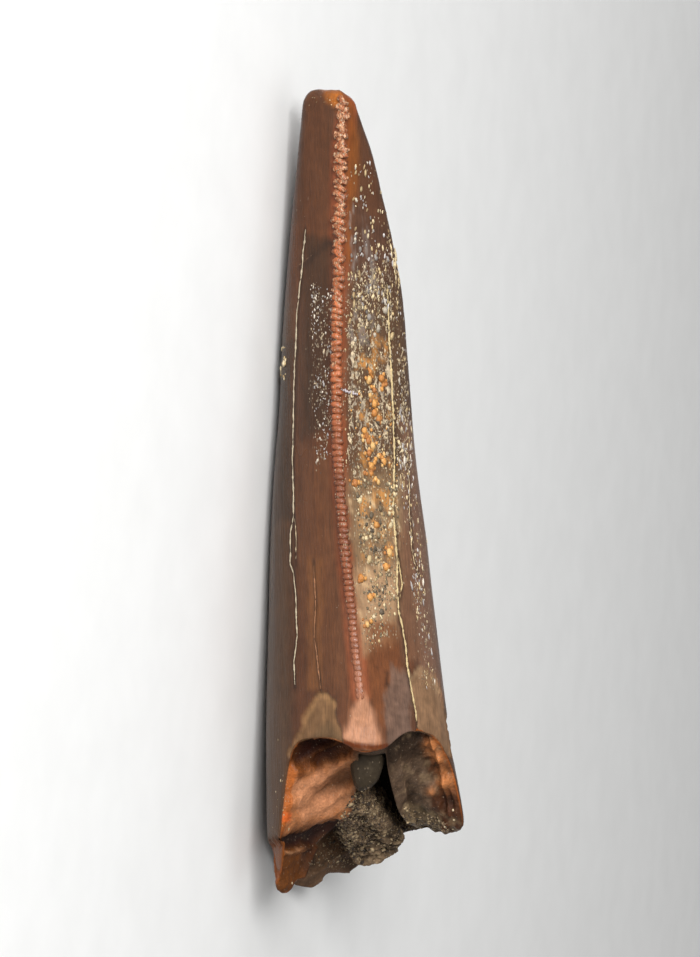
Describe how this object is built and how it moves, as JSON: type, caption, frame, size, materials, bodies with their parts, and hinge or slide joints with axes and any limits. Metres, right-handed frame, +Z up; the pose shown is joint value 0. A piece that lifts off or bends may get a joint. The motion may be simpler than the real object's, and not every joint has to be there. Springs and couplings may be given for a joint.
{
  "type": "fossil tooth",
  "caption": "Blade-like fossil dinosaur tooth with serrated edges, its crown broken off at the base and rock and mud set in the hollow, lying on its flank.",
  "frame": {"origin": "on the floor, below the middle of the tooth's bounding box", "axes": "+Z up from the floor it lies on; the worn tip points along -X and the broken base along +X; the serrated back edge faces -Y and a little upwards"},
  "size_m": [0.081, 0.0336, 0.021],
  "materials": {
    "tooth": "polished, worn enamel with dull broken dentine",
    "sand_matrix": "rough, coarse grained",
    "mud_plug": "smooth, matt"
  },
  "bodies": {
    "root": {"tooth": "tooth", "sand_matrix": "sand_matrix", "mud_plug": "mud_plug"}
  },
  "joints": []
}
